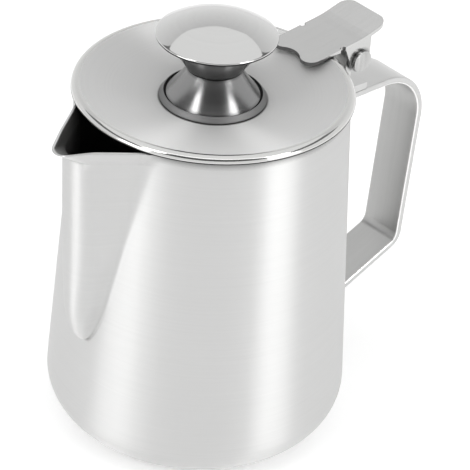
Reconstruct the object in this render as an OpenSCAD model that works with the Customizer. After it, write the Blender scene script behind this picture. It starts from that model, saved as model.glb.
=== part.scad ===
// Hot milk jug with a hinged lid, drawn and bent from stainless steel sheet and strip.
// Millimetres. The origin is on the body's axis at the base, +Z is up,
// the handle points along +X and the spout along -X.

/* [Body] */
// Height of the body's rim above the base
body_height = 114.6; // [100:0.1:140]
// Outer radius of the wall at the rim
mouth_r = 41.3; // [37:0.1:45]
// Outer radius of the wall's line carried down to the base plane
base_r = 48.6; // [45:0.1:54]
// Outer radius of the rounded corner at the base
corner_r = 12.9; // [8:0.1:17]
// Thickness of the drawn wall
wall = 0.9; // [0.6:0.05:1.3]

/* [Spout] */
// Height of the beak's round toe, where it ends on the wall
toe_z = 42; // [34:0.5:48]
// Height over which the toe grows to the full beak
toe_h = 16; // [10:0.5:22]
// Reach of the beak's ridge beyond the wall at the rim, under the lip
beak_out = 13.1; // [10:0.1:17]
// Half width of the beak on the wall at the rim, under the lip
beak_half = 16.8; // [14:0.1:20]
// Reach that the ridge's line has when carried down to the toe
beak_low_out = 6.7; // [5:0.1:9]
// Half width that the beak's sides have when carried down to the toe
beak_low_half = 4.4; // [3.8:0.1:7]
// Radius of the ridge's nose
nose_r = 9; // [7.5:0.1:10]
// Largest share of the half width that the nose takes near the toe
nose_share = 0.88; // [0.7:0.01:0.92]
// Height of the flared pouring lip
lip_h = 4.5; // [3:0.1:9]
// Extra reach of the lip at the ridge
lip_out = 5.2; // [2:0.1:7]
// Extra half width of the lip
lip_half = 1.9; // [0:0.1:3]
// Amount by which the lip's nose is sharper than the ridge below it
lip_nose = 4.8; // [2:0.1:5.6]

/* [Handle] */
// Width of the strap
strap_w = 15.4; // [12:0.1:20]
// Thickness of the strap
strap_t = 2.4; // [1.6:0.1:3.2]
// Depth of the top arm's middle below the rim
arm_drop = 16.8; // [15:0.1:22]
// Distance from the rim's outer radius to the grip's top corner
grip_out = 44.1; // [36:0.1:54]
// Lean of the grip from upright, in degrees
grip_lean = 3.5; // [0:0.1:8]
// Height of the grip's lower corner
grip_low_z = 32; // [28:0.5:42]
// Fall of the lower arm towards the wall, in degrees
arm_fall = 22.5; // [10:0.5:28]
// Bend radius of the strap's middle at the top corner
top_bend_r = 17; // [8:0.5:24]
// Bend radius of the strap's middle at the lower corner
low_bend_r = 5; // [3:0.5:9]
// Bend radius of the strap's middle at its feet
foot_bend_r = 3; // [2.2:0.1:3.6]
// Length of each foot along the wall
foot_len = 13; // [8:0.5:18]

/* [Hinge] */
// Distance of the pin's axis outside the lid's edge
pin_out = 9.3; // [8.5:0.1:12]
// Depth of the pin's axis below the body's rim
pin_drop = 2.6; // [1:0.1:4]
// Radius of the pin
pin_r = 2; // [1.5:0.1:2.5]
// Radius of the pin's heads
head_r = 3.5; // [3.2:0.1:4]
// Height of the pin's heads
head_h = 1.8; // [1.2:0.1:2.6]
// Height of the low dome on the pin's heads
head_dome = 0.6; // [0.3:0.1:1.1]
// Outer radius of the knuckle's curl
curl_r = 4.2; // [3.6:0.1:5]
// Length of the knuckle's foot on the strap
knuckle_foot = 9; // [6:0.5:9.5]

/* [Lid] */
// Distance the lid's edge stands outside the rim
lid_over = 1.4; // [0.4:0.1:2]
// Gap between the lid's edge and the rim
lid_gap = 0.3; // [0.2:0.05:0.6]
// Outer radius of the rolled edge
roll_r = 2; // [1.5:0.1:2.6]
// Slope of the dish where it meets the rolled edge, in degrees
dish_slope = 16.5; // [8:0.5:18]
// Thickness of the lid's sheet
lid_t = 0.9; // [0.6:0.05:1.2]

/* [Thumb plate] */
// Thickness of the plate and its ears
plate_t = 1.2; // [0.8:0.05:1.3]
// Length of the plate inside the lid's edge
plate_in = 12.1; // [8:0.1:15]
// Length of the tab outside the lid's edge
tab_out = 20.3; // [18:0.1:22]
// Distance of the tab's kink outside the lid's edge
kink_out = 9.8; // [4:0.1:13]
// Rise of the plate over the lid, in degrees
plate_rise = 6.2; // [3:0.1:9]
// Rise of the tab, in degrees
tab_rise = 15.8; // [10:0.1:20]
// Bend radius of the plate's middle at the kink
kink_r = 30; // [10:1:40]
// Corner radius of the plate's front
front_corner = 3.5; // [2:0.1:4]
// Depth of the hollow in the front edge
front_hollow = 2; // [1:0.1:2.6]
// Corner radius of the tab's end
tab_corner = 4; // [2:0.1:6]
// Radius of the ears' round ends
ear_end_r = 3.9; // [3.7:0.1:4.6]
// Length of the ears along the fold
ear_len = 10.8; // [9:0.1:13]
// Radius of the relief notch where each fold starts
notch_r = 1; // [0.6:0.1:1.4]

/* [Knob] */
// Outer radius of the ring on the lid
ring_r = 16.3; // [15.4:0.1:19]
// Height of the ring
ring_h = 2.1; // [1.4:0.1:3]
// Depth of the seat in the ring for the pedestal
seat_h = 0.5; // [0.3:0.05:0.7]
// Gap round the pedestal's foot in that seat
seat_gap = 0.3; // [0.2:0.05:0.5]
// Radius of the pedestal's foot
pedestal_r = 14.6; // [12:0.1:15.5]
// Height of the pedestal
pedestal_h = 8.8; // [6:0.1:12]
// Radius of the pedestal's neck
neck_r = 7.9; // [6.5:0.1:9]
// Hollow of the pedestal's flared side, at its middle
pedestal_hollow = 0.3; // [0.2:0.1:1.2]
// Radius of the funnel's lower end
funnel_r = 8.6; // [7:0.1:9.6]
// Height of the funnel
funnel_h = 10.6; // [8:0.1:15]
// Hollow of the funnel's side, at its middle
funnel_hollow = 0.9; // [0.4:0.1:2]
// Outer radius of the cap
cap_r = 18.3; // [15:0.1:22]
// Height of the cap's dome
dome_h = 5.6; // [4:0.1:9]
// Height of the cap's upright edge
cap_edge = 0.5; // [0.3:0.1:1.2]
// Thickness of the knob's sheet pieces
knob_t = 0.9; // [0.6:0.05:1.2]
// Radius of the stud
stud_r = 2.5; // [2:0.1:3]
// Radius of the stud's head
stud_head_r = 5; // [3.6:0.1:6]
// Height of the stud's head
stud_head_h = 1.6; // [1:0.1:2.5]
// Radius of the washer under the lid
washer_r = 7.5; // [6:0.1:10]
// Thickness of the washer
washer_t = 1.2; // [0.6:0.1:2]
// Width across flats of the nut
nut_af = 8; // [7:0.1:10]
// Height of the nut
nut_h = 4; // [3:0.1:5]

/* [Fits] */
// Gap between pieces that are welded together
weld_gap = 0.05; // [0.02:0.01:0.1]
// Radial clearance of the pin in the knuckle
pin_play = 0.06; // [0.03:0.01:0.1]
// Radial clearance of the pin in the ears, and of the stud in its holes
hole_play = 0.02; // [0.01:0.01:0.05]
// Gap between the strap's sides and the ears
side_play = 0.5; // [0.3:0.05:0.8]

/* [Hidden] */
$fn = 96;
// Small overlap of shapes that make one piece
overlap = 0.02;
// Degrees of a strip's bend between two points of its outline
bend_step = 5;
polished = [0.82, 0.82, 0.81];
satin = [0.7, 0.7, 0.69];
dark_steel = [0.5, 0.5, 0.5];

// Wall of the body
taper = atan((base_r - mouth_r) / body_height);
function wall_at(z) = base_r - (base_r - mouth_r) * z / body_height;
corner_x = wall_at(corner_r) - corner_r / cos(taper);

// Beak: it grows from a round toe, runs up the wall and flares at the lip
root_len = 8;
nose_steps = 12;
thinnest_nose = 0.4;
function toe(z) = let (rest = 1 - min(1, (z - toe_z) / toe_h)) sqrt(1 - rest * rest);
function toe_height(share) = toe_z + toe_h * (1 - sqrt(1 - share * share));
function lip(z) = max(0, (z - body_height + lip_h) / lip_h);
function up_beak(low, high, z) = low + (high - low) * (z - toe_z) / (body_height - toe_z);
function reach_at(z) = toe(z) * up_beak(beak_low_out, beak_out, z) + lip_out * lip(z);
function half_at(z) = toe(z) * up_beak(beak_low_half, beak_half, z) + lip_half * lip(z);
function nose_at(z) = min(nose_r - lip_nose * lip(z), nose_share * half_at(z));
function steps(from, to, count) = [for (i = [0 : count - 1]) from + (to - from) * i / count];
lip_z = body_height - lip_h;
outer_start = toe_height(0.06);
inner_start = toe_height((wall + thinnest_nose) / (nose_share * beak_low_half));
function beak_levels(start) = concat(
    [for (u = steps(sqrt((start - toe_z) / toe_h), 1, 9)) toe_z + toe_h * u * u],
    steps(toe_z + toe_h, lip_z, 5), steps(lip_z, body_height, 6), [body_height]);

// Section of the beak at one height: two flanks tangent to a round nose, drawn in by inset
function beak_section(z, inset) =
    let (r = wall_at(z), half = half_at(z), nose = nose_at(z))
    let (crease = [sqrt(r * r - half * half), half], centre = r + reach_at(z) - nose)
    let (behind = crease.x - centre)
    let (flank = atan2(behind, half) + acos(nose / norm([behind, half])))
    let (back = crease - inset * [sin(flank), cos(flank)] + root_len * [-cos(flank), sin(flank)])
    concat([[back.x, -back.y]],
           [for (i = [0 : nose_steps])
               let (turn = (90 - flank) * (2 * i / nose_steps - 1))
               [centre + (nose - inset) * cos(turn), (nose - inset) * sin(turn)]],
           [back]);

// Lid, measured from its edge
lid_r = mouth_r + lid_over;
lid_z = body_height + lid_gap;
roll_x = lid_r - roll_r;
dish_edge = roll_x - roll_r * sin(dish_slope);
dish_r = dish_edge / sin(dish_slope);
dish_centre_z = lid_z + roll_r * cos(dish_slope) + dish_r * cos(dish_slope);
function dish_at(r) = dish_centre_z - sqrt(dish_r * dish_r - r * r);

// Hinge
pin_x = lid_r + pin_out;
pin_z = body_height - pin_drop;

// Thumb plate: its ears clear the strap, and its underside rests on the rolled edge at its sides
plate_w = strap_w + 2 * (side_play + plate_t);
rest_x = sqrt(roll_x * roll_x - plate_w * plate_w / 4);
plate_mid_z = lid_z + (roll_r + weld_gap + plate_t / 2) / cos(plate_rise);
kink_x = lid_r + kink_out;
plate_front = lid_r - plate_in;
tab_end = lid_r + tab_out;
function plate_z(x) = plate_mid_z + (x - rest_x) * tan(plate_rise);
kink_z = plate_z(kink_x);
function tab_at(x) = kink_z + (x - kink_x) * tan(tab_rise);

// Handle: middle line of the strap
arm_z = body_height - arm_drop;
grip_top = [mouth_r + grip_out, arm_z];
grip_low = [grip_top.x - (arm_z - grip_low_z) * tan(grip_lean), grip_low_z];
foot_off = (strap_t / 2 + weld_gap) / cos(taper);
foot_x = wall_at(arm_z) + foot_off;
wall_slope = (base_r - mouth_r) / body_height;
low_foot_x = (base_r + foot_off - wall_slope * (grip_low.y - grip_low.x * tan(arm_fall)))
             / (1 + wall_slope * tan(arm_fall));
low_foot_z = grip_low.y - (grip_low.x - low_foot_x) * tan(arm_fall);
strap_path = [[foot_x + foot_len * wall_slope, arm_z - foot_len], [foot_x, arm_z], grip_top, grip_low,
              [low_foot_x, low_foot_z], [low_foot_x - foot_len * wall_slope, low_foot_z + foot_len]];
strap_bends = [foot_bend_r, top_bend_r, low_bend_r, foot_bend_r];
strap_top = arm_z + strap_t / 2;
saddle = strap_w * strap_w / (8 * mouth_r) + 0.5;
saddle_end = 0.5;

// Knob, stacked on the lid
ring_z = dish_at(ring_r) + weld_gap;
pedestal_z = ring_z + ring_h - seat_h + weld_gap;
neck_z = pedestal_z + pedestal_h;
funnel_z = neck_z + weld_gap;
funnel_top = funnel_z + funnel_h;
seam_step = 0.2;
funnel_top_r = cap_r - seam_step;
dome_r = (cap_r * cap_r + dome_h * dome_h) / (2 * dome_h);
dome_z = funnel_top + weld_gap + cap_edge;
washer_z = dish_at(0) - lid_t - weld_gap - washer_t;
nut_z = washer_z - weld_gap - nut_h;
stud_end = 1.2;
stud_hole_r = stud_r + hole_play;

// Shapes used by more than one piece

// Solid of the body's outside, drawn in by inset, up to the height top
module vessel(inset, top) {
    round_r = corner_r - inset;
    rotate_extrude() {
        polygon([[0, inset], [corner_x, inset], [corner_x, corner_r],
                 [corner_x + round_r * cos(taper), corner_r + round_r * sin(taper)],
                 [wall_at(top) - inset / cos(taper), top], [0, top]]);
        translate([corner_x, corner_r]) circle(round_r);
    }
}

// Solid of the beak, drawn in by inset, from the height start to the rim and over it by above
module beak(inset, start, above) {
    levels = beak_levels(start);
    rings = concat([for (z = levels) [for (p = beak_section(z, inset)) [-p.x, -p.y, z]]],
                   above > 0 ? [[for (p = beak_section(body_height, inset))
                                 [-p.x, -p.y, body_height + above]]] : []);
    count = len(rings[0]);
    top = len(rings) - 1;
    sides = [for (i = [0 : top - 1]) for (j = [0 : count - 1])
             let (next = (j + 1) % count, low = i * count, high = low + count)
             each [[low + j, high + j, high + next], [low + j, high + next, low + next]]];
    polyhedron(points = [for (ring = rings) each ring],
               faces = concat([[for (j = [0 : count - 1]) j]], sides,
                              [[for (j = [count - 1 : -1 : 0]) top * count + j]]));
}

// Outline of a strip of even thickness, bent along a path; its sides lie to the left and right of the path
function heading(a, b) = (b - a) / norm(b - a);
function left_of(way) = [-way.y, way.x];
function turned(v, angle) = [v.x * cos(angle) - v.y * sin(angle), v.x * sin(angle) + v.y * cos(angle)];
function turn_at(path, i) =
    let (in = heading(path[i - 1], path[i]), out = heading(path[i], path[i + 1]))
    atan2(in.x * out.y - in.y * out.x, in * out);
function bend_side(path, i, bend, off) =
    let (in = heading(path[i - 1], path[i]), turn = turn_at(path, i), steps = ceil(abs(turn) / bend_step))
    let (arm = -sign(turn) * left_of(in))
    let (centre = path[i] - in * bend * tan(abs(turn) / 2) - arm * bend)
    [for (k = [0 : steps]) centre + (bend - sign(turn) * off) * turned(arm, turn * k / steps)];
function strip_side(path, bends, off) =
    let (last = len(path) - 1)
    concat([path[0] + off * left_of(heading(path[0], path[1]))],
           [for (i = [1 : last - 1]) each bend_side(path, i, bends[i - 1], off)],
           [path[last] + off * left_of(heading(path[last - 1], path[last]))]);
function backwards(list) = [for (i = [len(list) - 1 : -1 : 0]) list[i]];
module bent_strip(path, bends, thick) {
    polygon(concat(strip_side(path, bends, -thick / 2), backwards(strip_side(path, bends, thick / 2))));
}

// Filling between a flat foot of the strap and the round wall, from the foot's end towards its bend
module foot_saddle(end, bend, side) {
    way = heading(end, bend);
    translate(end)
        rotate(atan2(way.y, way.x))
            translate([saddle_end, min(0, side * (strap_t / 2 + saddle))])
                square([foot_len - 2 * foot_bend_r, strap_t / 2 + saddle]);
}

// An outline in X and Z, made solid across the middle plane
module across(width) {
    rotate([90, 0, 0])
        translate([0, 0, -width / 2])
            linear_extrude(width) children();
}

// A round hole along Y at the pin's axis
module pin_hole(r, width) {
    translate([pin_x, 0, pin_z])
        rotate([90, 0, 0])
            cylinder(r = r, h = width, center = true);
}

// Solid turned about Z whose side runs from [r1, 0] to [r2, h] and is hollowed by hollow at its middle
module flared(r1, r2, h, hollow) {
    chord = norm([r2 - r1, h]);
    arc_r = (chord * chord / 4 + hollow * hollow) / (2 * hollow);
    aside = [h, r1 - r2] / chord;
    rotate_extrude()
        difference() {
            square([max(r1, r2) + 1, h]);
            translate([r1 + r2, h] / 2 + aside * (arc_r - hollow)) circle(arc_r);
        }
}

// Pieces of the jug

module body_shell() {
    color(polished)
        difference() {
            union() {
                vessel(0, body_height);
                beak(0, outer_start, 0);
            }
            vessel(wall, body_height + 1);
            beak(wall, inner_start, 1);
        }
}

module handle_strap() {
    color(satin)
        difference() {
            across(strap_w) {
                bent_strip(strap_path, strap_bends, strap_t);
                foot_saddle(strap_path[0], strap_path[1], 1);
                foot_saddle(strap_path[5], strap_path[4], -1);
            }
            vessel(-weld_gap, body_height);
        }
}

module hinge_knuckle() {
    leg_x = pin_x - curl_r + strap_t / 2;
    foot_z = strap_top + weld_gap + strap_t / 2;
    color(satin)
        difference() {
            across(strap_w) {
                translate([pin_x, pin_z]) circle(curl_r);
                bent_strip([[leg_x, pin_z], [leg_x, foot_z], [leg_x + knuckle_foot, foot_z]],
                           [foot_bend_r], strap_t);
            }
            pin_hole(pin_r + pin_play, strap_w + 2);
        }
}

// Pieces of the lid

module hinge_pin() {
    length = plate_w + 2 * weld_gap;
    dome = (head_r * head_r + head_dome * head_dome) / (2 * head_dome);
    color(polished)
        translate([pin_x, 0, pin_z])
            rotate([90, 0, 0]) {
                cylinder(r = pin_r, h = length + 2 * overlap, center = true);
                for (side = [0, 180])
                    rotate([side, 0, 0])
                        translate([0, 0, length / 2])
                            rotate_extrude()
                                intersection() {
                                    translate([0, head_h - dome]) circle(dome);
                                    square([head_r, head_h]);
                                }
            }
}

module lid_shell() {
    color(polished)
        difference() {
            rotate_extrude() {
                intersection() {
                    translate([0, dish_centre_z])
                        difference() {
                            circle(dish_r + lid_t);
                            circle(dish_r);
                        }
                    polygon([[0, dish_centre_z], [0, 0], [dish_centre_z * tan(dish_slope) + overlap, 0]]);
                }
                intersection() {
                    translate([roll_x, lid_z])
                        difference() {
                            circle(roll_r);
                            circle(roll_r - lid_t);
                        }
                    polygon([[roll_x, lid_z], [roll_x + 2 * roll_r, lid_z],
                             [roll_x + 2 * roll_r, lid_z + 2 * roll_r],
                             [roll_x - 2 * roll_r * tan(dish_slope), lid_z + 2 * roll_r]]);
                }
            }
            translate([0, 0, dish_at(0) - 2 * lid_t]) cylinder(r = stud_hole_r, h = 4 * lid_t);
        }
}

// What a rounded corner at the origin leaves of a square in the first quadrant
module corner_waste(r) {
    difference() {
        translate([-1, -1]) square(r + 1);
        translate([r, r]) circle(r);
    }
}

// Points of an arc in a plan, without its last one
function arc_points(centre, r, from, to) =
    let (count = ceil(abs(to - from) / bend_step))
    [for (i = [0 : count - 1])
        let (turn = from + (to - from) * i / count)
        centre + r * [cos(turn), sin(turn)]];

// Plan of the plate: its round front corners run smoothly into the hollow between them
module plate_plan() {
    half = plate_w / 2;
    round_x = plate_front + front_corner;
    round_y = half - front_corner;
    hollow_r = (front_hollow * front_hollow + round_y * round_y) / (2 * front_hollow) - front_corner;
    sway = asin(round_y / (hollow_r + front_corner));
    difference() {
        polygon(backwards(concat(
            arc_points([round_x, -round_y], front_corner, 270, 180 - sway),
            arc_points([plate_front + front_hollow - hollow_r, 0], hollow_r, -sway, sway),
            arc_points([round_x, round_y], front_corner, 180 + sway, 90),
            [[round_x, half], [tab_end, half], [tab_end, -half]])));
        for (side = [-1, 1]) {
            translate([tab_end, -side * half]) scale([-1, side]) corner_waste(tab_corner);
            translate([pin_x + ear_end_r - ear_len - notch_r, side * half]) circle(notch_r);
        }
    }
}

module ear_outline() {
    root_x = pin_x + ear_end_r - ear_len;
    edge_x = pin_x + ear_end_r;
    root = [root_x, plate_z(root_x)];
    away = root - [pin_x, pin_z];
    tangent = atan2(away.y, away.x) + acos(ear_end_r / norm(away));
    polygon([root, [edge_x, max(plate_z(edge_x), tab_at(edge_x))], [edge_x, pin_z], [pin_x, pin_z],
             [pin_x + ear_end_r * cos(tangent), pin_z + ear_end_r * sin(tangent)]]);
    translate([pin_x, pin_z]) circle(ear_end_r);
}

module thumb_plate() {
    color(polished)
        difference() {
            union() {
                intersection() {
                    across(plate_w + 2)
                        bent_strip([[plate_front - 1, plate_z(plate_front - 1)], [kink_x, kink_z],
                                    [tab_end + 1, tab_at(tab_end + 1)]], [kink_r], plate_t);
                    translate([0, 0, pin_z]) linear_extrude(2 * (tab_at(tab_end) - pin_z)) plate_plan();
                }
                for (side = [-1, 1])
                    translate([0, side * (plate_w / 2 - plate_t / 2), 0]) across(plate_t) ear_outline();
            }
            pin_hole(pin_r + hole_play, plate_w + 2);
        }
}

module knob_base_ring() {
    inner_r = pedestal_r / 2;
    seat_r = pedestal_r + seat_gap;
    seat_z = ring_h - seat_h;
    color(polished)
        translate([0, 0, ring_z])
            rotate_extrude()
                polygon([[inner_r, 0], [ring_r, 0], [ring_r, ring_h / 4], [seat_r + seat_gap, ring_h],
                         [seat_r, ring_h], [seat_r, seat_z], [inner_r, seat_z]]);
}

module knob_pedestal() {
    color(polished)
        translate([0, 0, pedestal_z])
            difference() {
                flared(pedestal_r, neck_r, pedestal_h, pedestal_hollow);
                translate([0, 0, -knob_t])
                    flared(pedestal_r - knob_t, neck_r - knob_t, pedestal_h, pedestal_hollow);
                cylinder(r = stud_hole_r, h = pedestal_h + 1);
            }
}

module knob_underside() {
    color(polished)
        translate([0, 0, funnel_z])
            difference() {
                flared(funnel_r, funnel_top_r, funnel_h, funnel_hollow);
                translate([0, 0, knob_t])
                    flared(funnel_r - knob_t, funnel_top_r - knob_t, funnel_h, funnel_hollow);
                translate([0, 0, -1]) cylinder(r = stud_hole_r, h = funnel_h);
            }
}

module knob_cap() {
    color(polished)
        translate([0, 0, dome_z])
            rotate_extrude()
                intersection() {
                    translate([0, dome_h - dome_r])
                        difference() {
                            circle(dome_r);
                            circle(dome_r - knob_t);
                        }
                    translate([0, -cap_edge]) square([cap_r, dome_h + cap_edge]);
                }
}

module knob_stud() {
    head_z = funnel_z + knob_t + weld_gap;
    color(dark_steel) {
        translate([0, 0, nut_z - stud_end]) cylinder(r = stud_r, h = head_z - nut_z + stud_end + overlap);
        translate([0, 0, head_z]) cylinder(r = stud_head_r, h = stud_head_h);
    }
}

module knob_washer() {
    color(satin)
        translate([0, 0, washer_z])
            difference() {
                cylinder(r = washer_r, h = washer_t);
                translate([0, 0, -1]) cylinder(r = stud_hole_r, h = washer_t + 2);
            }
}

module knob_nut() {
    color(satin)
        translate([0, 0, nut_z])
            difference() {
                cylinder(r = nut_af / 2 / cos(30), h = nut_h, $fn = 6);
                translate([0, 0, -1]) cylinder(r = stud_hole_r, h = nut_h + 2);
            }
}

body_shell();
handle_strap();
hinge_knuckle();
hinge_pin();
lid_shell();
thumb_plate();
knob_base_ring();
knob_pedestal();
knob_underside();
knob_cap();
knob_stud();
knob_washer();
knob_nut();
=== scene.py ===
"""Looks of the hot milk jug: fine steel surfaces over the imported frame, and a plain studio."""
import math

import bpy
from mathutils import Matrix, Vector


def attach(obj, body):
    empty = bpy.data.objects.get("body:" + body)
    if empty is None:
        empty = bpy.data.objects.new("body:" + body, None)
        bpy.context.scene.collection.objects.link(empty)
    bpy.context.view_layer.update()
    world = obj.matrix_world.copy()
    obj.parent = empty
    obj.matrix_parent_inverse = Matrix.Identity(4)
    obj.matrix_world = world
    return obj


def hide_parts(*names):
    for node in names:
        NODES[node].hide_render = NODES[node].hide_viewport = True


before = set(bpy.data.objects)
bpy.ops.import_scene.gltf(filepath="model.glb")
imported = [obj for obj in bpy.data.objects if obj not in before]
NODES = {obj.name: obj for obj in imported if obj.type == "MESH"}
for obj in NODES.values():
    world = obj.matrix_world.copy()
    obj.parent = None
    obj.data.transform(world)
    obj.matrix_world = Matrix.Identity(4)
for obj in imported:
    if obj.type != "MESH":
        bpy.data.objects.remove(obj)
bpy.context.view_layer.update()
MM = 0.001

# Sizes are in millimetres, and those of the body, handle, lid and knob are the ones of the part's source

# Body
BODY_H = 114.6  # height of the rim
MOUTH_R = 41.3  # outer radius of the wall at the rim
BASE_R = 48.6  # outer radius of the wall's line at the base plane
CORNER_R = 12.9  # outer radius of the rounded corner at the base
WALL = 0.9  # thickness of the wall
WELD = 0.05  # gap between pieces that are welded together
WALL_SLOPE = (BASE_R - MOUTH_R) / BODY_H
TAPER = math.atan(WALL_SLOPE)

# Beak
TOE_Z = 42.0  # height of the round toe, where the beak ends on the wall
TOE_H = 16.0  # height over which the toe grows to the full beak
BEAK_OUT = 13.1  # reach of the ridge beyond the wall at the rim, under the lip
BEAK_HALF = 16.8  # half width on the wall at the rim, under the lip
BEAK_LOW_OUT = 6.7  # reach of the ridge's line carried down to the toe
BEAK_LOW_HALF = 4.4  # half width of the sides carried down to the toe
NOSE_R = 9.0  # radius of the ridge's nose
NOSE_SHARE = 0.88  # largest share of the half width that the nose takes
LIP_H = 4.5  # height of the flared pouring lip
LIP_OUT = 5.2  # extra reach of the lip
LIP_HALF = 1.9  # extra half width of the lip
LIP_NOSE = 4.8  # amount by which the lip's nose is sharper than the ridge
LIP_Z = BODY_H - LIP_H
LEAST_TOE = 0.03  # share of the full beak under which there is none
LEAST_NOSE = 0.1  # radius of the nose under which there is no beak inside
BEAK_SIDE = math.radians(60)  # angle off the ridge past which there is no beak

# Fine forms of the body that only the look has
CREASE_ROUND = 1.6  # round of the crease between beak and wall
RIM_ROUND = 0.25  # bevel of the rim's two edges
DROOP = 1.25  # how far the tip of the lip hangs below the rim
DROOP_SPAN = math.radians(9)  # angle off the ridge at which the droop ends

# Mesh of the body
BEAK_SPAN = 34  # degrees on each side of the ridge where the mesh is fine
BEAK_STEPS = 170  # steps over both of those spans
SIDE_STEPS = 58  # steps on each side over the rest of the wall
LOW_LEVELS, TOE_LEVELS, BEAK_LEVELS, LIP_LEVELS = 8, 40, 16, 16
CORNER_STEPS = 14
BASE_RINGS = (0.25, 0.6)  # places of the flat base's rings, as shares of its radius
CLOSE = 0.01  # tolerance in comparing places

# Handle
STRAP_W = 15.4  # width of the strap
STRAP_T = 2.4  # thickness of the strap
ARM_DROP = 16.8  # depth of the top arm's middle below the rim
GRIP_OUT = 44.1  # distance from the rim's outer radius to the grip's top corner
GRIP_LEAN = math.radians(3.5)  # lean of the grip from upright
GRIP_LOW_Z = 32  # height of the grip's lower corner
ARM_FALL = math.radians(22.5)  # fall of the lower arm towards the wall
TOP_BEND_R = 17  # bend radius of the strap's middle at the top corner
LOW_BEND_R = 5  # bend radius at the lower corner
FOOT_BEND_R = 3  # bend radius at the feet
FOOT_LEN = 13  # length of each foot along the wall
STRAP_ROUND = 0.55  # round of the strap's long edges
STRAP_ROUND_STEPS = 5
END_ROUND = 0.25  # what each side of the strap's cut ends loses, and the share that their thickness loses
BEND_STEP = 3.95  # most degrees of a bend between two sections
ARM_Z = BODY_H - ARM_DROP

# Lid
LID_OVER = 1.4  # distance the lid's edge stands outside the rim
LID_GAP = 0.3  # gap between the lid's edge and the rim
ROLL_R = 2.0  # outer radius of the rolled edge
DISH_SLOPE = 16.5  # degrees of the dish's slope where it meets the rolled edge
LID_T = 0.9  # thickness of the lid's sheet
LID_SHADE_LINE = 0.32  # height of the painted shadow line at the foot of the rolled edge
DISH_STEPS, ROLL_STEPS, ROLL_INNER_STEPS, LID_TURNS = 30, 24, 14, 300
LID_R = MOUTH_R + LID_OVER
LID_Z = BODY_H + LID_GAP
ROLL_X = LID_R - ROLL_R
DISH_EDGE = ROLL_X - ROLL_R * math.sin(math.radians(DISH_SLOPE))
DISH_R = DISH_EDGE / math.sin(math.radians(DISH_SLOPE))
DISH_Z = LID_Z + (ROLL_R + DISH_R) * math.cos(math.radians(DISH_SLOPE))

# Knob
STUD_HOLE_R = 2.52  # radius of the stud's hole in the lid and the knob's pieces
RING_R = 16.3  # outer radius of the ring on the lid
RING_H = 2.1  # height of the ring
SEAT_H = 0.5  # depth of the pedestal's seat in the ring
SEAT_GAP = 0.3  # gap round the pedestal's foot in that seat
PEDESTAL_R = 14.6  # radius of the pedestal's foot
PEDESTAL_H = 8.8  # height of the pedestal
PEDESTAL_HOLLOW = 0.3  # hollow of the pedestal's flared side, at its middle
NECK_R = 7.9  # radius of the pedestal's neck
FUNNEL_R = 8.6  # radius of the funnel's lower end
FUNNEL_H = 10.6  # height of the funnel
FUNNEL_HOLLOW = 0.9  # hollow of the funnel's side, at its middle
SEAM_STEP = 0.2  # step between the funnel's top and the cap's edge
CAP_R = 18.3  # outer radius of the cap
CAP_EDGE = 0.5  # height of the cap's edge
DOME_H = 5.6  # height of the cap's dome
KNOB_T = 0.9  # thickness of the knob's sheet pieces
KNOB_TURNS, SIDE_POINTS, FUNNEL_POINTS, DOME_STEPS, RIM_STEPS = 240, 20, 40, 40, 16

# Fine forms of the knob that only the look has
RIM_R = 0.6  # radius of the cap's rolled rim
RIM_DROP = 0.42  # how far the funnel's top is lowered to clear that rim
RIM_FOLD = 1.0  # width of the rim's turned-in edge
RIM_CLEAR = 1.2  # distance from the rim's middle at which the dome's inside ends
POLE = 0.02  # degrees between the axis and the first point of the dome
RING_ROUND, PEDESTAL_ROUND, FUNNEL_ROUND = 0.12, 0.15, 0.3  # rounds of the pieces' corners
BLUNT_CORNER = math.radians(150)  # a corner wider than this is not rounded
ROUND_SHARE = 0.4  # largest share of an edge that a corner's round takes
ROUND_STEPS = 4
NECK_SHADE_LINE, FUNNEL_SHADE_LINE, RIM_SHADE_LINE = 0.3, 0.5, 0.12  # heights of the painted shadow lines at the joins
FUNNEL_HIGHLIGHT = 0.9  # height of the painted highlight band under the cap's rim


def wall_at(z):
    """Outer radius of the wall at a height."""
    return BASE_R - WALL_SLOPE * z


def dish_at(r):
    """Height of the lid's dish at a distance from the axis."""
    return DISH_Z - math.sqrt(DISH_R ** 2 - r * r)


CORNER_X = wall_at(CORNER_R) - CORNER_R / math.cos(TAPER)
CORNER_TOP = CORNER_R + CORNER_R * math.sin(TAPER)
RING_Z = dish_at(RING_R) + WELD
RING_TOP = RING_Z + RING_H
SEAT_Z = RING_TOP - SEAT_H
PEDESTAL_Z = SEAT_Z + WELD
NECK_Z = PEDESTAL_Z + PEDESTAL_H
FUNNEL_Z = NECK_Z + WELD
FUNNEL_TOP = FUNNEL_Z + FUNNEL_H


def steps(first, last, count):
    """count + 1 even steps from first to last."""
    return [first + (last - first) * i / count for i in range(count + 1)]


def arc(cx, cz, radius, start, stop, count):
    """Points of an arc in a profile; angles in degrees from the +r direction."""
    angles = [math.radians(t) for t in steps(start, stop, count)]
    return [(cx + radius * math.cos(t), cz + radius * math.sin(t)) for t in angles]


# Meshes

def make(name, verts, faces, material, body, node, sharp):
    """A mesh in millimetres that stands for one CAD node and rides on its body; sharp is in degrees."""
    mesh = bpy.data.meshes.new(name)
    mesh.from_pydata([(x * MM, y * MM, z * MM) for x, y, z in verts], [], faces)
    mesh.validate()
    mesh.shade_smooth()
    mesh.set_sharp_from_angle(angle=math.radians(sharp))
    mesh.materials.append(material)
    obj = bpy.data.objects.new(name, mesh)
    bpy.context.scene.collection.objects.link(obj)
    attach(obj, body)
    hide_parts(node)
    return obj


def skin(rows, width, closed=False):
    """Faces between rows of width points that each run once round; closed joins the last row to the first."""
    faces = []
    for row in range(rows if closed else rows - 1):
        near, far = row * width, (row + 1) % rows * width
        for this in range(width):
            after = (this + 1) % width
            faces.append((near + this, near + after, far + after, far + this))
    return faces


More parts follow.
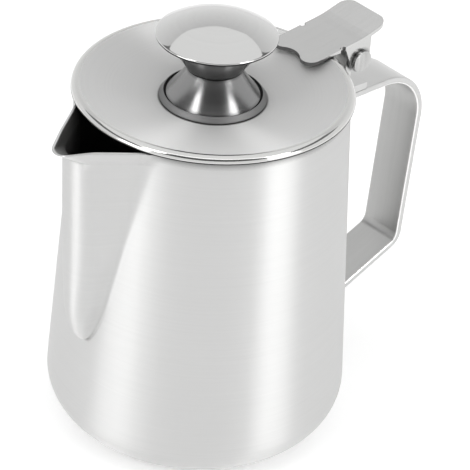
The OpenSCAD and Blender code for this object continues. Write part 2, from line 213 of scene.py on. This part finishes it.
def lathe(name, profile, material, node, turns=KNOB_TURNS, sharp=50):
    """A piece of the lid: a closed profile of (r, z) turned about Z."""
    verts = []
    for angle in steps(0, 2 * math.pi, turns)[:-1]:
        verts += [(r * math.cos(angle), r * math.sin(angle), z) for r, z in profile]
    faces = [(a, d, c, b) for a, b, c, d in skin(turns, len(profile), closed=True)]
    return make(name, verts, faces, material, "lid", node, sharp)


def corners(obj, face):
    """Corner points of a face, in metres."""
    return [obj.data.vertices[i].co for i in face.vertices]


def paint(obj, material, chosen):
    """Gives a piece one more material, on the faces for which chosen is true."""
    materials = obj.data.materials
    materials.append(material)
    for face in obj.data.polygons:
        if chosen(face):
            face.material_index = len(materials) - 1


def in_band(low, high):
    """A choice of the faces whose middle lies between two heights."""
    return lambda face: low * MM < face.center.z < high * MM


# Body

def toe(z):
    """Share of the full beak at a height, which grows along a quarter round from the toe."""
    rest = 1 - min(1.0, max(0.0, (z - TOE_Z) / TOE_H))
    return math.sqrt(1 - rest * rest)


def lip(z):
    """Share of the lip's flare at a height."""
    return max(0.0, (z - LIP_Z) / LIP_H)


def up_beak(low, high, z):
    """A size of the beak at a height, from its values at the toe and at the rim."""
    return low + (high - low) * (z - TOE_Z) / (BODY_H - TOE_Z)


def beak_radius(z, angle, inset):
    """Distance from the axis of the beak's surface at a height and an angle off its ridge, or 0 past it."""
    share, flare, angle = toe(z), lip(z), abs(angle)
    if share < LEAST_TOE or angle > BEAK_SIDE:
        return 0.0
    wall = wall_at(z)
    half = share * up_beak(BEAK_LOW_HALF, BEAK_HALF, z) + LIP_HALF * flare
    outer_nose = min(NOSE_R - LIP_NOSE * flare, NOSE_SHARE * half)
    centre = wall + share * up_beak(BEAK_LOW_OUT, BEAK_OUT, z) + LIP_OUT * flare - outer_nose
    behind = math.sqrt(wall * wall - half * half) - centre
    flank = math.atan2(behind, half) + math.acos(outer_nose / math.hypot(behind, half))
    nose = outer_nose - inset
    if nose <= LEAST_NOSE:
        return 0.0
    tangent = math.atan2(nose * math.cos(flank), centre + nose * math.sin(flank))
    if angle > tangent:
        return (nose + centre * math.sin(flank)) / math.sin(angle + flank)
    return centre * math.cos(angle) + math.sqrt(max(0.0, nose ** 2 - (centre * math.sin(angle)) ** 2))


def body_radius(z, angle, inset):
    """Distance from the axis of the wall or the beak, whichever is further out, with a rounded crease."""
    wall = wall_at(z) - inset / math.cos(TAPER)
    beak = beak_radius(z, angle, inset)
    soft = CREASE_ROUND * toe(z)
    if beak <= 0 or soft <= 0:
        return wall
    return max(wall, beak) + max(soft - abs(wall - beak), 0) ** 2 / (4 * soft)


def drooped(z, angle):
    """Height of a point of the wall, lowered at the tip of the pouring lip."""
    return z - DROOP * lip(z) * max(0.0, 1 - (angle / DROOP_SPAN) ** 2) ** 2


def body_angles():
    """Angles of the wall's points off the ridge, closest over the beak."""
    near = steps(-180, -BEAK_SPAN, SIDE_STEPS)[:-1]
    beak = steps(-BEAK_SPAN, BEAK_SPAN, BEAK_STEPS)
    far = steps(BEAK_SPAN, 180, SIDE_STEPS)[1:-1]
    return [math.radians(t) for t in near + beak + far]


def body_levels():
    """Heights of the wall's rings, closest at the toe and the lip."""
    low = steps(CORNER_TOP, TOE_Z, LOW_LEVELS)
    toe_round = [TOE_Z + TOE_H * t * t for t in steps(0, 1, TOE_LEVELS)]
    beak = steps(TOE_Z + TOE_H, LIP_Z, BEAK_LEVELS)
    flare = steps(LIP_Z, BODY_H - RIM_ROUND, LIP_LEVELS)
    return low[:-1] + toe_round[:-1] + beak[:-1] + flare


def corner_points(inset):
    """Points (r, z) of the base and its corner, from near the axis up to the wall."""
    flat = [(CORNER_X * share, inset) for share in BASE_RINGS]
    return flat + arc(CORNER_X, CORNER_R, CORNER_R - inset, -90, math.degrees(TAPER), CORNER_STEPS)[:-1]


def body_rings(angles):
    """Rings of (r, z) from the base up the outside, over the rim and down the inside."""
    levels = body_levels()

    def surface(inset):
        corner = [[point] * len(angles) for point in corner_points(inset)]
        return corner + [[(body_radius(z, t, inset), z) for t in angles] for z in levels]

    def rim(inset, shift):
        return [(body_radius(levels[-1], t, inset) + shift, BODY_H) for t in angles]

    return surface(0) + [rim(0, -RIM_ROUND), rim(WALL, RIM_ROUND)] + surface(WALL)[::-1]


def body_mesh(material, inside, under_lid_shade):
    """The drawn body, with painted shade inside and on the band of wall under the lid."""
    angles = body_angles()
    rings = body_rings(angles)
    around = len(angles)
    verts = []
    for ring in rings:
        verts += [(-r * math.cos(t), -r * math.sin(t), drooped(z, t)) for (r, z), t in zip(ring, angles)]
    faces = skin(len(rings), around)
    last_ring = (len(rings) - 1) * around
    under, floor = len(verts), len(verts) + 1
    verts += [(0, 0, 0), (0, 0, WALL)]
    for this in range(around):
        after = (this + 1) % around
        faces.append((under, after, this))
        faces.append((floor, last_ring + this, last_ring + after))
    obj = make("body_look", verts, faces, material, "jug", "body_shell", sharp=40)
    first_inner = len(rings) // 2 * around

    def is_inner(face):
        return min(face.vertices) >= first_inner

    def in_lid_shade(face):
        return not is_inner(face) and min(p.z for p in corners(obj, face)) > (LIP_Z - CLOSE) * MM

    paint(obj, inside, is_inner)
    # painted shade on the band of wall just under the lid's roll
    paint(obj, under_lid_shade, in_lid_shade)


# Handle

def left(way):
    """The direction to the left of a way in the (x, z) plane."""
    return Vector((-way.y, way.x))


def strap_path():
    """Middle line of the strap as (x, z) with its left normal, from the upper foot to the lower one."""
    off = (STRAP_T / 2 + WELD) / math.cos(TAPER)
    fall = math.tan(ARM_FALL)
    grip_x = MOUTH_R + GRIP_OUT
    grip_low_x = grip_x - (ARM_Z - GRIP_LOW_Z) * math.tan(GRIP_LEAN)
    top_x = wall_at(ARM_Z) + off
    low_x = (BASE_R + off - WALL_SLOPE * (GRIP_LOW_Z - grip_low_x * fall)) / (1 + WALL_SLOPE * fall)
    low_z = GRIP_LOW_Z - (grip_low_x - low_x) * fall
    foot = Vector((WALL_SLOPE, -1)) * FOOT_LEN
    top, low = Vector((top_x, ARM_Z)), Vector((low_x, low_z))
    grip_top, grip_low = Vector((grip_x, ARM_Z)), Vector((grip_low_x, GRIP_LOW_Z))
    return rounded_path([top + foot, top, grip_top, grip_low, low, low - foot],
                        [FOOT_BEND_R, TOP_BEND_R, LOW_BEND_R, FOOT_BEND_R])


def rounded_path(turns, bends):
    """Points with left normals along straight runs between turning points, with an arc at each inner one."""
    ways = [(b - a).normalized() for a, b in zip(turns, turns[1:])]
    points = [(turns[0], left(ways[0]))]
    for spot, before, after, bend in zip(turns[1:], ways, ways[1:], bends):
        turn = math.atan2(before.x * after.y - before.y * after.x, before.dot(after))
        sign = math.copysign(1, turn)
        arm = -sign * left(before)
        centre = spot - before * bend * math.tan(abs(turn) / 2) - arm * bend
        count = max(2, math.ceil(abs(math.degrees(turn)) / BEND_STEP))
        for t in steps(0, turn, count):
            out = arm * math.cos(t) + left(arm) * math.sin(t)
            points.append((centre + out * bend, out * -sign))
    points.append((turns[-1], left(ways[-1])))
    return points


def strap_section():
    """Outline of the strap's section as (y, height off the middle line): four rounded corners."""
    y, off = STRAP_W / 2 - STRAP_ROUND, STRAP_T / 2 - STRAP_ROUND
    points = []
    for quarter, (cy, cn) in enumerate(((y, off), (-y, off), (-y, -off), (y, -off))):
        points += arc(cy, cn, STRAP_ROUND, 90 * quarter, 90 * quarter + 90, STRAP_ROUND_STEPS)
    return points


def strap_mesh(outer, edge, inner, painted_highlight):
    """The handle's strap, with its steel on the outer face, painted shade on the inner face and a painted
    highlight along its near inner corner.
    """
    path, section = strap_path(), strap_section()
    around = len(section)
    verts = []
    for i, (middle, normal) in enumerate(path):
        pull = END_ROUND if i in (0, len(path) - 1) else 0
        for y, off in section:
            point = middle + normal * (off * (1 - pull))
            verts.append((point.x, math.copysign(abs(y) - pull, y), point.y))
    faces = skin(len(path), around)
    sides = len(faces)
    faces.append(tuple(range(around))[::-1])
    faces.append(tuple(range(len(verts) - around, len(verts))))
    obj = make("strap_look", verts, faces, edge, "jug", "handle_strap", sharp=40)
    corner = STRAP_ROUND_STEPS + 1
    outer_face, inner_face = [corner - 1], [3 * corner - 1]
    near_corner = range(2 * corner, 2 * corner + STRAP_ROUND_STEPS // 2 + 1)

    def on(columns):
        """A choice of the faces in these columns, counted round the section."""
        return lambda face: face.index < sides and face.index % around in columns

    paint(obj, outer, on(outer_face))
    # painted shade on the inner face, which faces the body
    paint(obj, inner, on(inner_face))
    # painted highlight along the near inner corner
    paint(obj, painted_highlight, on(near_corner))


# Lid

def dish_arc(radius):
    """Points of the dish from the stud's hole to the rolled edge, on a curve of that radius."""
    first = math.degrees(math.asin(STUD_HOLE_R / radius))
    return arc(0, DISH_Z, radius, first - 90, DISH_SLOPE - 90, DISH_STEPS)


def lid_mesh(material, rim, join_shade):
    """The dished lid, with a polished rolled edge and a painted shadow line at the edge's foot."""
    top = dish_arc(DISH_R)
    over = arc(ROLL_X, LID_Z, ROLL_R, 90 + DISH_SLOPE, 0, ROLL_STEPS)[1:]
    under = arc(ROLL_X, LID_Z, ROLL_R - LID_T, 0, 90 + DISH_SLOPE, ROLL_INNER_STEPS)
    below = dish_arc(DISH_R + LID_T)[::-1][1:]
    profile = (top + over + under + below)[::-1]
    obj = lathe("lid_look", profile, material, "lid_shell", turns=LID_TURNS, sharp=35)

    def is_rim(face):
        return min(p.xy.length for p in corners(obj, face)) > (DISH_EDGE - CLOSE) * MM

    def is_shade_line(face):
        return is_rim(face) and face.center.z < (LID_Z + LID_SHADE_LINE) * MM

    paint(obj, rim, is_rim)
    # painted shadow line at the foot of the rolled edge
    paint(obj, join_shade, is_shade_line)


# Knob

def hollow_side(r1, r2, height, hollow, z, count):
    """Points of a side that runs from (r1, z) to (r2, z + height), hollowed at its middle."""
    chord = math.hypot(r2 - r1, height)
    radius = (chord ** 2 / 4 + hollow ** 2) / (2 * hollow)
    cx = (r1 + r2) / 2 + height / chord * (radius - hollow)
    cz = height / 2 + (r1 - r2) / chord * (radius - hollow)
    start = math.degrees(math.atan2(-cz, r1 - cx)) % 360
    stop = math.degrees(math.atan2(height - cz, r2 - cx)) % 360
    return [(r, z + rise) for r, rise in arc(cx, cz, radius, start, stop, count)]


def soften(points, size):
    """The closed profile with its sharper corners cut to small rounds."""
    soft = []
    for before, spot, after in zip(points[-1:] + points, points, points[1:] + points[:1]):
        spot = Vector(spot)
        back, ahead = Vector(before) - spot, Vector(after) - spot
        if back.angle(ahead) > BLUNT_CORNER:
            soft.append(tuple(spot))
            continue
        reach = min(size, back.length * ROUND_SHARE, ahead.length * ROUND_SHARE)
        start, stop = spot + back.normalized() * reach, spot + ahead.normalized() * reach
        for t in steps(0, 1, ROUND_STEPS):
            soft.append(tuple(start * (1 - t) ** 2 + spot * 2 * t * (1 - t) + stop * t * t))
    return soft


def ring_mesh(material, join_shade):
    """The chamfered ring under the knob, with painted shade in the pedestal's seat."""
    bore, seat_r = PEDESTAL_R / 2, PEDESTAL_R + SEAT_GAP
    foot = [(bore, RING_Z), (RING_R, RING_Z), (RING_R, RING_Z + RING_H / 4)]
    seat = [(seat_r + SEAT_GAP, RING_TOP), (seat_r, RING_TOP), (seat_r, SEAT_Z), (bore, SEAT_Z)]
    obj = lathe("ring_look", soften(foot + seat, RING_ROUND), material, "knob_base_ring")
    # painted shade in the seat's gap round the pedestal's foot
    paint(obj, join_shade, lambda face: max(p.xy.length for p in corners(obj, face)) < (seat_r + CLOSE) * MM)


def pedestal_mesh(material, join_shade):
    """The knob's flared foot, with a painted shadow line at its neck."""
    side = hollow_side(PEDESTAL_R, NECK_R, PEDESTAL_H, PEDESTAL_HOLLOW, PEDESTAL_Z, SIDE_POINTS)
    inside = hollow_side(PEDESTAL_R - KNOB_T, NECK_R - KNOB_T, PEDESTAL_H, PEDESTAL_HOLLOW,
                         PEDESTAL_Z - KNOB_T, SIDE_POINTS)
    inside = [(r, z) for r, z in inside if z > PEDESTAL_Z]
    neck = [(STUD_HOLE_R, NECK_Z), (STUD_HOLE_R, NECK_Z - KNOB_T)]
    foot = [(PEDESTAL_R - 2 * KNOB_T, PEDESTAL_Z)]
    profile = soften(side + neck + inside[::-1] + foot, PEDESTAL_ROUND)
    obj = lathe("pedestal_look", profile, material, "knob_pedestal")
    # painted shadow line at the neck, under the funnel's overhang
    paint(obj, join_shade, in_band(FUNNEL_Z - NECK_SHADE_LINE, FUNNEL_Z))


def funnel_mesh(material, join_shade, painted_highlight):
    """The funnel under the cap, with painted shade where it leaves the neck and a painted highlight band
    under the cap's rim.
    """
    top_r, top_z = CAP_R - SEAM_STEP, FUNNEL_TOP - RIM_DROP
    side = hollow_side(FUNNEL_R, top_r, FUNNEL_H, FUNNEL_HOLLOW, FUNNEL_Z, FUNNEL_POINTS)
    side = [(r, z) for r, z in side if z < top_z]
    inside = hollow_side(FUNNEL_R - KNOB_T, top_r - KNOB_T, FUNNEL_H, FUNNEL_HOLLOW,
                         FUNNEL_Z + KNOB_T, FUNNEL_POINTS)
    inside = [(r, z) for r, z in inside if z < side[-1][1]]
    bottom = [(STUD_HOLE_R, FUNNEL_Z + KNOB_T), (STUD_HOLE_R, FUNNEL_Z)]
    profile = soften(side + inside[::-1] + bottom, FUNNEL_ROUND)
    obj = lathe("funnel_look", profile, material, "knob_underside")
    # painted shade where the funnel leaves the neck
    paint(obj, join_shade, in_band(FUNNEL_Z, FUNNEL_Z + FUNNEL_SHADE_LINE))
    # painted highlight: a lighter, glossier band under the cap's rim
    paint(obj, painted_highlight, in_band(top_z - FUNNEL_HIGHLIGHT, top_z))


def cap_mesh(material, join_shade):
    """The domed cap with its rolled rim, with painted shade on the rim's underside."""
    dome_r = (CAP_R ** 2 + DOME_H ** 2) / (2 * DOME_H)
    centre = FUNNEL_TOP + WELD + CAP_EDGE + DOME_H - dome_r
    rim_x = CAP_R - RIM_R
    rim_z = centre + math.sqrt((dome_r - RIM_R) ** 2 - rim_x ** 2)
    edge = 90 - math.degrees(math.asin(rim_x / (dome_r - RIM_R)))
    dome = arc(0, centre, dome_r, 90 - POLE, edge, DOME_STEPS)
    roll = arc(rim_x, rim_z, RIM_R, edge, -90, RIM_STEPS)[1:]
    fold = [(rim_x - RIM_FOLD, rim_z - RIM_R)]
    inside = arc(0, centre, dome_r - KNOB_T, 90 - POLE, edge, DOME_STEPS)
    inside = [(r, z) for r, z in inside if r < rim_x - RIM_CLEAR]
    profile = (dome + roll + fold + inside[::-1])[::-1]
    obj = lathe("cap_look", profile, material, "knob_cap")
    # painted shade on the lower side of the rolled rim, over the gap to the funnel
    paint(obj, join_shade, in_band(rim_z - RIM_R, rim_z + RIM_SHADE_LINE))


# Shader nodes

def plug(tree, node, inputs):
    """Sets a node's inputs, each to a fixed value or to the output of another node."""
    for key, value in inputs.items():
        if isinstance(value, bpy.types.NodeSocket):
            tree.links.new(value, node.inputs[key])
        else:
            node.inputs[key].default_value = value


def add(tree, kind, inputs=None, **settings):
    """A new shader node with its settings and inputs."""
    node = tree.nodes.new("ShaderNode" + kind)
    for name, value in settings.items():
        setattr(node, name, value)
    plug(tree, node, inputs or {})
    return node


def spread_over(tree, value, span, low, high):
    """The value mapped from a span to between low and high."""
    ends = {"From Min": span[0], "From Max": span[1], "To Min": low, "To Max": high}
    return add(tree, "MapRange", {"Value": value, **ends}).outputs[0]


def times(tree, one, other):
    """The product of two values."""
    return add(tree, "Math", {0: one, 1: other}, operation="MULTIPLY").outputs[0]


def grey(level):
    """A grey as a colour with its alpha."""
    return (level, level, level, 1)


# Steel

BRUSH_TURN = 0.25  # turn of the brushed highlight against the tangent round the axis
LEAST_ROUGH = 0.01
LINE_DETAIL = 4.0
PATCH_SCALE, PATCH_DETAIL, PATCH_SHARE = 40.0, 3.0, 0.4  # soft patches between the working lines
ROUGH_SPAN, TINT_SPAN = (0.35, 1.05), (0.3, 1.1)  # spans of the noise that the roughness and tint follow
LINE_DEPTH = 0.0005  # metres
# samples of the painted shade at joins and creases
JOIN_SHADE_SAMPLES = 8


def working_lines(tree, spot, lines, rings):
    """Noise stretched to fine lines by its scales along X, Y and Z, or outwards from the axis for rings."""
    if rings:
        split = add(tree, "SeparateXYZ", {0: spot}).outputs
        flat = add(tree, "CombineXYZ", {"X": split["X"], "Y": split["Y"]}).outputs[0]
        distance = add(tree, "VectorMath", {0: flat}, operation="LENGTH").outputs["Value"]
        spot = add(tree, "CombineXYZ", {"X": distance}).outputs[0]
    stretched = add(tree, "Mapping", {"Vector": spot, "Scale": lines}).outputs[0]
    noise = add(tree, "TexNoise", {"Vector": stretched, "Scale": 1.0, "Detail": LINE_DETAIL})
    return noise.outputs["Fac"]


def steel(name, color, rough, lines, rings=False, spread=0.06, streak=0.03, bump=0.004, anisotropic=0.0,
          metallic=1.0, edge=1.0, join_shade=0.0012, join_shade_power=1.6, tip=None):
    """Steel with fine working lines, and painted shade that darkens its colour where pieces meet and in
    creases.

    The lines change the roughness by spread, the tint by streak and the height by bump. edge tints what
    is seen at a glancing angle. Painted shade at joins and creases reaches join_shade metres, power
    join_shade_power.
    tip is a span along X, in metres, over which the tint grows as painted light, and how many times it grows.
    """
    mat = bpy.data.materials.new(name)
    mat.use_nodes = True
    tree = mat.node_tree
    shader = tree.nodes["Principled BSDF"]
    plug(tree, shader, {"Metallic": metallic, "Specular Tint": grey(edge), "Anisotropic": anisotropic,
                        "Anisotropic Rotation": BRUSH_TURN})
    spot = add(tree, "TexCoord").outputs["Object"]
    fine = working_lines(tree, spot, lines, rings)
    patch = add(tree, "TexNoise", {"Vector": spot, "Scale": PATCH_SCALE, "Detail": PATCH_DETAIL})
    mixed = {0: patch.outputs["Fac"], 1: PATCH_SHARE, 2: fine}
    noise = add(tree, "Math", mixed, operation="MULTIPLY_ADD").outputs[0]
    roughness = spread_over(tree, noise, ROUGH_SPAN, max(LEAST_ROUGH, rough - spread), rough + spread)
    tint = spread_over(tree, noise, TINT_SPAN, 1 - streak, 1 + streak)
    # painted shade: ambient occlusion darkens the colour where pieces meet and in creases
    open_share = add(tree, "AmbientOcclusion", {"Distance": join_shade}, samples=JOIN_SHADE_SAMPLES).outputs["AO"]
    painted_join_shade = add(tree, "Math", {0: open_share, 1: join_shade_power}, operation="POWER").outputs[0]
    shade = times(tree, tint, painted_join_shade)
    if tip:
        start, stop, growth = tip
        along = add(tree, "SeparateXYZ", {0: spot}).outputs["X"]
        shade = times(tree, shade, spread_over(tree, along, (start, stop), 1.0, growth))
    shaded = add(tree, "VectorMath", {0: color, "Scale": shade}, operation="SCALE").outputs[0]
    relief = add(tree, "Bump", {"Strength": bump, "Distance": LINE_DEPTH, "Height": fine}).outputs[0]
    plug(tree, shader, {"Roughness": roughness, "Base Color": shaded, "Normal": relief})
    if anisotropic:
        tangent = add(tree, "Tangent", direction_type="RADIAL", axis="Z").outputs[0]
        plug(tree, shader, {"Tangent": tangent})
    return mat


# Body steels
BRUSHED = 0.95  # anisotropy of a brushed face
SPUN = {"color": (0.725, 0.725, 0.72), "rough": 0.42, "lines": (30, 30, 1500), "spread": 0.03,
        "anisotropic": BRUSHED, "edge": 0.78}
LIT_LIP_TIP = (-0.0572, -0.0592, 2.0)  # painted light: the shaded inside is lighter at the tip of the lip
body_steel = steel("body_steel", **SPUN)
# painted shade under the lid's roll: stronger ambient occlusion on that band
under_lid_shade = steel("under_lid_shade", **SPUN, join_shade=0.003, join_shade_power=3)
# painted shade: the inside is far darker than the outer steel, with painted light at the lip's tip
shaded_inside_steel = steel("shaded_inside_steel", (0.40, 0.40, 0.395), 0.45, (30, 30, 900), spread=0.05, bump=0.01,
                     tip=LIT_LIP_TIP)

# Lid steels
lid_steel = steel("lid_steel", (0.78, 0.78, 0.775), 0.7, (1800, 1, 1), rings=True, spread=0.02, bump=0.002,
                  anisotropic=BRUSHED, metallic=0.7, join_shade=0.0006)
rim_steel = steel("rim_steel", (0.64, 0.64, 0.63), 0.10, (900, 1, 1), rings=True, spread=0.02, bump=0.002)

# Handle and hinge steels
STRAP_LINES = (60, 2200, 60)
strap_steel = steel("strap_steel", (0.61, 0.61, 0.605), 0.33, STRAP_LINES, bump=0.03)
strap_edge = steel("strap_edge", (0.60, 0.60, 0.595), 0.33, STRAP_LINES, bump=0.03)
# painted shade: a darker copy of the strap's steel for its inner face
strap_inner_shade = steel("strap_inner_shade", (0.46, 0.46, 0.455), 0.35, (20, 500, 20), bump=0.03, streak=0.08)
# painted highlight: a lighter, glossier copy of the strap's steel for its near inner corner
strap_highlight = steel("strap_highlight", (0.9, 0.9, 0.895), 0.15, (60, 900, 60), spread=0.05, bump=0.01)
plate_steel = steel("plate_steel", (0.59, 0.59, 0.585), 0.22, (60, 1500, 60), spread=0.05, bump=0.01)
# painted shade and dark reflection: near-black steel for the plate's front edge
plate_edge_shade = steel("plate_edge_shade", (0.18, 0.18, 0.18), 0.3, (60, 60, 1500), spread=0.05, bump=0.01)
pin_steel = steel("pin_steel", (0.5, 0.5, 0.495), 0.25, (1100, 60, 60), spread=0.05, bump=0.02, streak=0.25)

# Knob steels
TURNED = {"lines": (900, 1, 1), "rings": True, "spread": 0.02, "bump": 0.002}
mirror_steel = steel("mirror_steel", (0.61, 0.61, 0.605), 0.07, **TURNED)
# painted shade and dark reflection: the pedestal, funnel and ring are much darker copies of the knob's steel
shaded_turned_steel = steel("shaded_turned_steel", (0.26, 0.26, 0.26), 0.21, **TURNED, anisotropic=0.3)
shaded_funnel_steel = steel("shaded_funnel_steel", (0.25, 0.25, 0.25), 0.24, **TURNED, anisotropic=0.3)
shaded_ring_steel = steel("shaded_ring_steel", (0.24, 0.24, 0.24), 0.5, (900, 1, 1), rings=True, spread=0.04)
# painted shade: near-black steel put in the gaps between pieces, where only shade falls
join_shade_steel = steel("join_shade_steel", (0.03, 0.03, 0.03), 0.5, **TURNED)
fastener_steel = steel("fastener_steel", (0.55, 0.55, 0.54), 0.32, (1200, 1, 1), rings=True, bump=0.02)


# CAD pieces that stay in view

EDGE_ROUND = 0.25  # millimetres
PLATE_SIDE_X = 40.0  # the plate's sides belong to its front edge up to here


def dress(node, material):
    """Gives a CAD piece its steel and finely rounded edges."""
    piece = NODES[node]
    piece.data.materials.clear()
    piece.data.materials.append(material)
    piece.data.shade_smooth()
    piece.data.set_sharp_from_angle(angle=math.radians(30))
    edges = piece.modifiers.new("edges", "BEVEL")
    edges.width = EDGE_ROUND * MM
    edges.segments = 3
    edges.limit_method = "ANGLE"
    edges.angle_limit = math.radians(40)


def is_shaded_plate_front(face):
    """Whether a face is on the plate's sheared edge where it lies on the lid, which gets painted shade."""
    upright = abs(face.normal.z) < 0.6
    forward = face.normal.x < 0.2
    sideways = abs(face.normal.y) >= 0.9
    return upright and forward and (not sideways or face.center.x < PLATE_SIDE_X * MM)


body_mesh(body_steel, shaded_inside_steel, under_lid_shade)
strap_mesh(strap_steel, strap_edge, strap_inner_shade, strap_highlight)
lid_mesh(lid_steel, rim_steel, join_shade_steel)
ring_mesh(shaded_ring_steel, join_shade_steel)
pedestal_mesh(shaded_turned_steel, join_shade_steel)
funnel_mesh(shaded_funnel_steel, join_shade_steel, rim_steel)
cap_mesh(mirror_steel, join_shade_steel)
dress("hinge_knuckle", strap_edge)
dress("thumb_plate", plate_steel)
dress("hinge_pin", pin_steel)
for fastener in ("knob_stud", "knob_washer", "knob_nut"):
    dress(fastener, fastener_steel)
# painted shade on the plate's front edge
paint(NODES["thumb_plate"], plate_edge_shade, is_shaded_plate_front)

# Studio, in metres and degrees

CAM_AZ, CAM_EL, CAM_ROLL, CAM_DIST = -42.4, 34.06, 3.89, 0.714
TARGET = Vector((0, 0, 0.0631))  # the point that the camera turns about
LENS, SENSOR, SHIFT_X, SHIFT_Y = 175.6, 36, 0.0666, -0.0072
FAR_CLIP = 50
KNOB_HEIGHT = 0.13  # the screens' elevations are measured from here
SCREEN_STEPS = 12
FLOOR_HALF, FLOOR_Z = 6, -0.0002
FLOOR_GREY, FLOOR_LIFT, ROOM_GREY = 0.82, 0.35, 0.76


def toward(azimuth, elevation):
    """The direction of a point seen from the jug; azimuth 0 is the -Y side."""
    a, e = math.radians(azimuth), math.radians(elevation)
    return Vector((math.sin(a) * math.cos(e), -math.cos(a) * math.cos(e), math.sin(e)))


def seen_rays(tree):
    """One for rays from the camera, a mirror or a glass, and nothing for the rest."""
    path = add(tree, "LightPath").outputs
    first = add(tree, "Math", {0: path["Is Camera Ray"], 1: path["Is Glossy Ray"]}, operation="MAXIMUM")
    second = add(tree, "Math", {0: first.outputs[0], 1: path["Is Transmission Ray"]}, operation="MAXIMUM")
    return second.outputs[0]


def bare_material(name):
    """A new material with no nodes yet, and its node tree."""
    mat = bpy.data.materials.new(name)
    mat.use_nodes = True
    mat.node_tree.nodes.clear()
    return mat, mat.node_tree


def glow(name, low, high):
    """A glow that the camera looks through, from its strength at the lower edge to that at the upper one."""
    mat, tree = bare_material(name)
    place = add(tree, "TexCoord").outputs["Generated"]
    height = add(tree, "SeparateXYZ", {0: place}).outputs["Z"]
    light = add(tree, "Emission", {"Strength": spread_over(tree, height, (0, 1), low, high)}).outputs[0]
    clear = add(tree, "BsdfTransparent").outputs[0]
    camera_ray = add(tree, "LightPath").outputs["Is Camera Ray"]
    pick = add(tree, "MixShader", {"Fac": camera_ray, 1: light, 2: clear}).outputs[0]
    add(tree, "OutputMaterial", {"Surface": pick})
    return mat


def stage_mesh(name, verts, faces, material):
    """A piece of the studio, which is not part of the object."""
    mesh = bpy.data.meshes.new(name)
    mesh.from_pydata(verts, [], faces)
    mesh.materials.append(material)
    obj = bpy.data.objects.new(name, mesh)
    bpy.context.scene.collection.objects.link(obj)


def screen(name, elevations, azimuths, strength, radius=1.5, upper=None):
    """A curved screen round the jug, between elevations seen from the knob and azimuths off the camera."""
    heights = [KNOB_HEIGHT + radius * math.tan(math.radians(elevation)) for elevation in elevations]
    verts, faces = [], []
    for i, azimuth in enumerate(steps(*azimuths, SCREEN_STEPS)):
        side = toward(CAM_AZ + azimuth, 0) * radius
        verts += [(side.x, side.y, z) for z in heights]
        if i:
            faces.append((2 * i - 2, 2 * i, 2 * i + 1, 2 * i - 1))
    stage_mesh(name, verts, faces, glow(name, strength, strength if upper is None else upper))


def ceiling(name, back, front, half, height, strength):
    """A level panel over the jug, from behind it towards the camera."""
    ahead, side = toward(CAM_AZ, 0), toward(CAM_AZ + 90, 0)
    spots = [ahead * d + side * w for d, w in ((back, -half), (back, half), (front, half), (front, -half))]
    stage_mesh(name, [(p.x, p.y, height) for p in spots], [(0, 1, 2, 3)], glow(name, strength, strength))


def lay_floor():
    """A pale floor, lifted to white for the camera except for the jug's shadow."""
    mat, tree = bare_material("floor")
    matte = add(tree, "BsdfDiffuse", {"Color": grey(FLOOR_GREY)}).outputs[0]
    lift = add(tree, "Emission", {"Strength": times(tree, seen_rays(tree), FLOOR_LIFT)}).outputs[0]
    both = add(tree, "AddShader", {0: matte, 1: lift}).outputs[0]
    add(tree, "OutputMaterial", {"Surface": both})
    square = [(x * FLOOR_HALF, y * FLOOR_HALF, FLOOR_Z) for x, y in ((-1, -1), (1, -1), (1, 1), (-1, 1))]
    stage_mesh("floor", square, [(0, 1, 2, 3)], mat)


def light_room():
    """A plain grey room that the camera and mirrors see as white."""
    world = bpy.data.worlds.new("studio")
    bpy.context.scene.world = world
    world.use_nodes = True
    tree = world.node_tree
    tree.nodes.clear()
    room = add(tree, "Background", {"Color": grey(ROOM_GREY)}).outputs[0]
    white = add(tree, "Background", {"Color": grey(1)}).outputs[0]
    pick = add(tree, "MixShader", {"Fac": seen_rays(tree), 1: room, 2: white}).outputs[0]
    add(tree, "OutputWorld", {"Surface": pick})


def place_camera():
    """The camera that was fitted to the photograph."""
    lens = bpy.data.cameras.new("camera")
    lens.lens = LENS
    lens.sensor_width = SENSOR
    lens.shift_x = SHIFT_X
    lens.shift_y = SHIFT_Y
    lens.clip_end = FAR_CLIP
    camera = bpy.data.objects.new("camera", lens)
    bpy.context.scene.collection.objects.link(camera)
    away = toward(CAM_AZ, CAM_EL)
    turn = away.to_track_quat("Z", "Y").to_matrix().to_4x4()
    roll = Matrix.Rotation(math.radians(CAM_ROLL), 4, "Z")
    camera.matrix_world = Matrix.Translation(TARGET + away * CAM_DIST) @ turn @ roll
    bpy.context.scene.camera = camera


screen("left_light", (0, 26), (-71, -45), 3.2)
screen("right_light", (0, 26), (45, 71), 3.2)
screen("upper_left_light", (36, 52), (-58, -41), 6.5, radius=1.45)
screen("upper_right_light", (36, 52), (52, 72), 6.5, radius=1.45)
screen("dark_front", (28, 58), (-42, 42), 0.13)
screen("dark_left", (28, 46), (-125, -42), 0.2)
screen("dark_right", (28, 46), (42, 125), 0.2)
screen("back_wall", (10, 47), (125, 235), 1.0, upper=0.74)
ceiling("top_light", back=-1.32, front=0.78, half=1.6, height=1.6, strength=1.05)
ceiling("front_strip", back=0.5, front=0.78, half=1.6, height=1.59, strength=1.9)
lay_floor()
light_room()
place_camera()
bpy.context.scene.view_settings.view_transform = "Standard"
